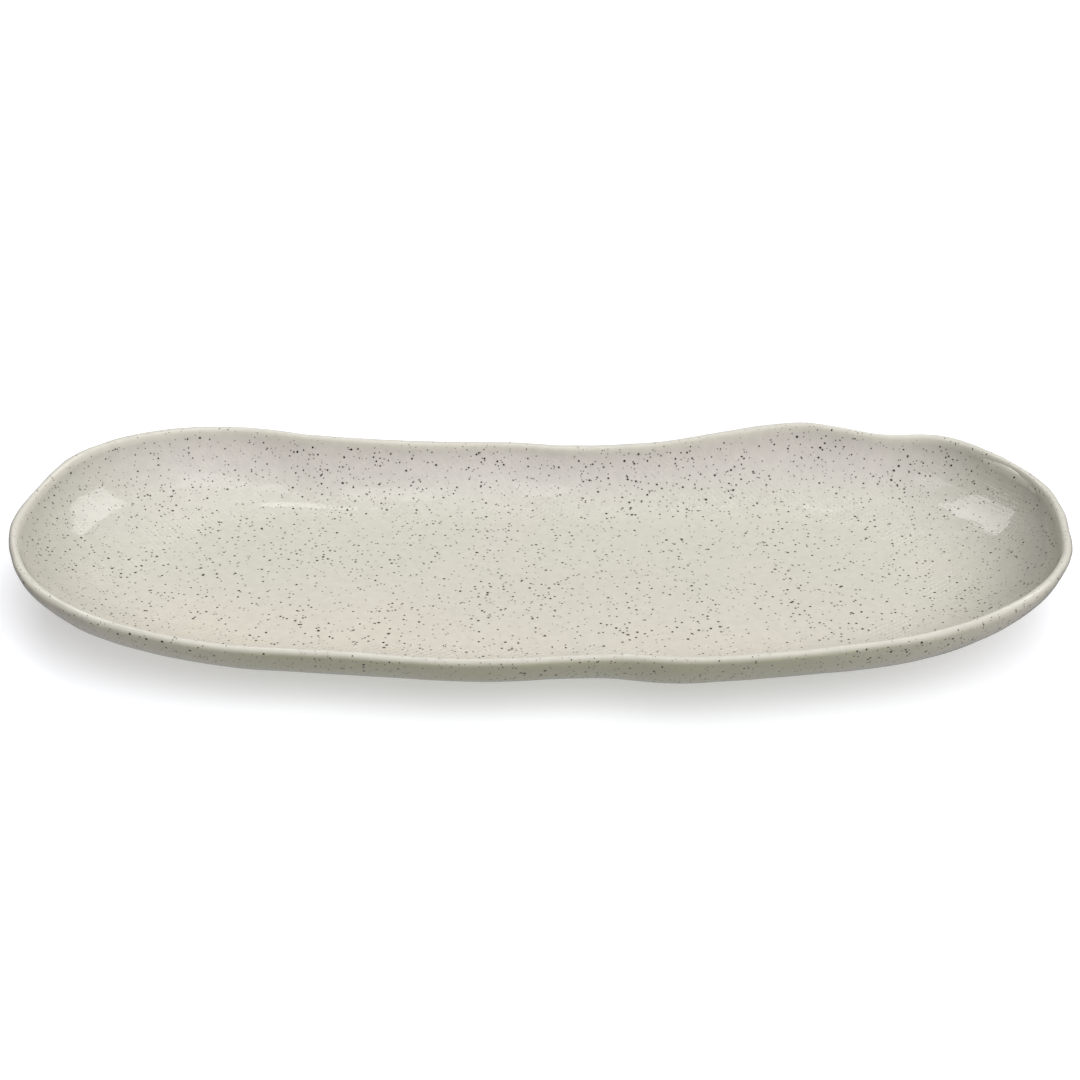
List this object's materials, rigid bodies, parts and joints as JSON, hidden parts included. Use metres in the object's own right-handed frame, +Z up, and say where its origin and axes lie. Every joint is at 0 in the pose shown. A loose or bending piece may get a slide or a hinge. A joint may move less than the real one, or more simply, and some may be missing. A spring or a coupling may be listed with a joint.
{
  "type": "serving platter",
  "caption": "Long shallow free-form serving platter with a wavy rounded lip, a speckled glaze inside and out, and a bare oval foot.",
  "frame": {"origin": "middle of the platter's length and width, on the table it stands on", "axes": "+X along its length to the right-hand end, +Y to the back long side, +Z up out of the well"},
  "size_m": [0.4693, 0.2043, 0.0394],
  "materials": {
    "speckled_glaze": "gloss",
    "bare_clay": "matte"
  },
  "bodies": {
    "root": {"clay_body": "bare_clay", "foot_ring": "bare_clay", "glaze_coat": "speckled_glaze", "glaze_underside": "speckled_glaze"}
  },
  "joints": []
}
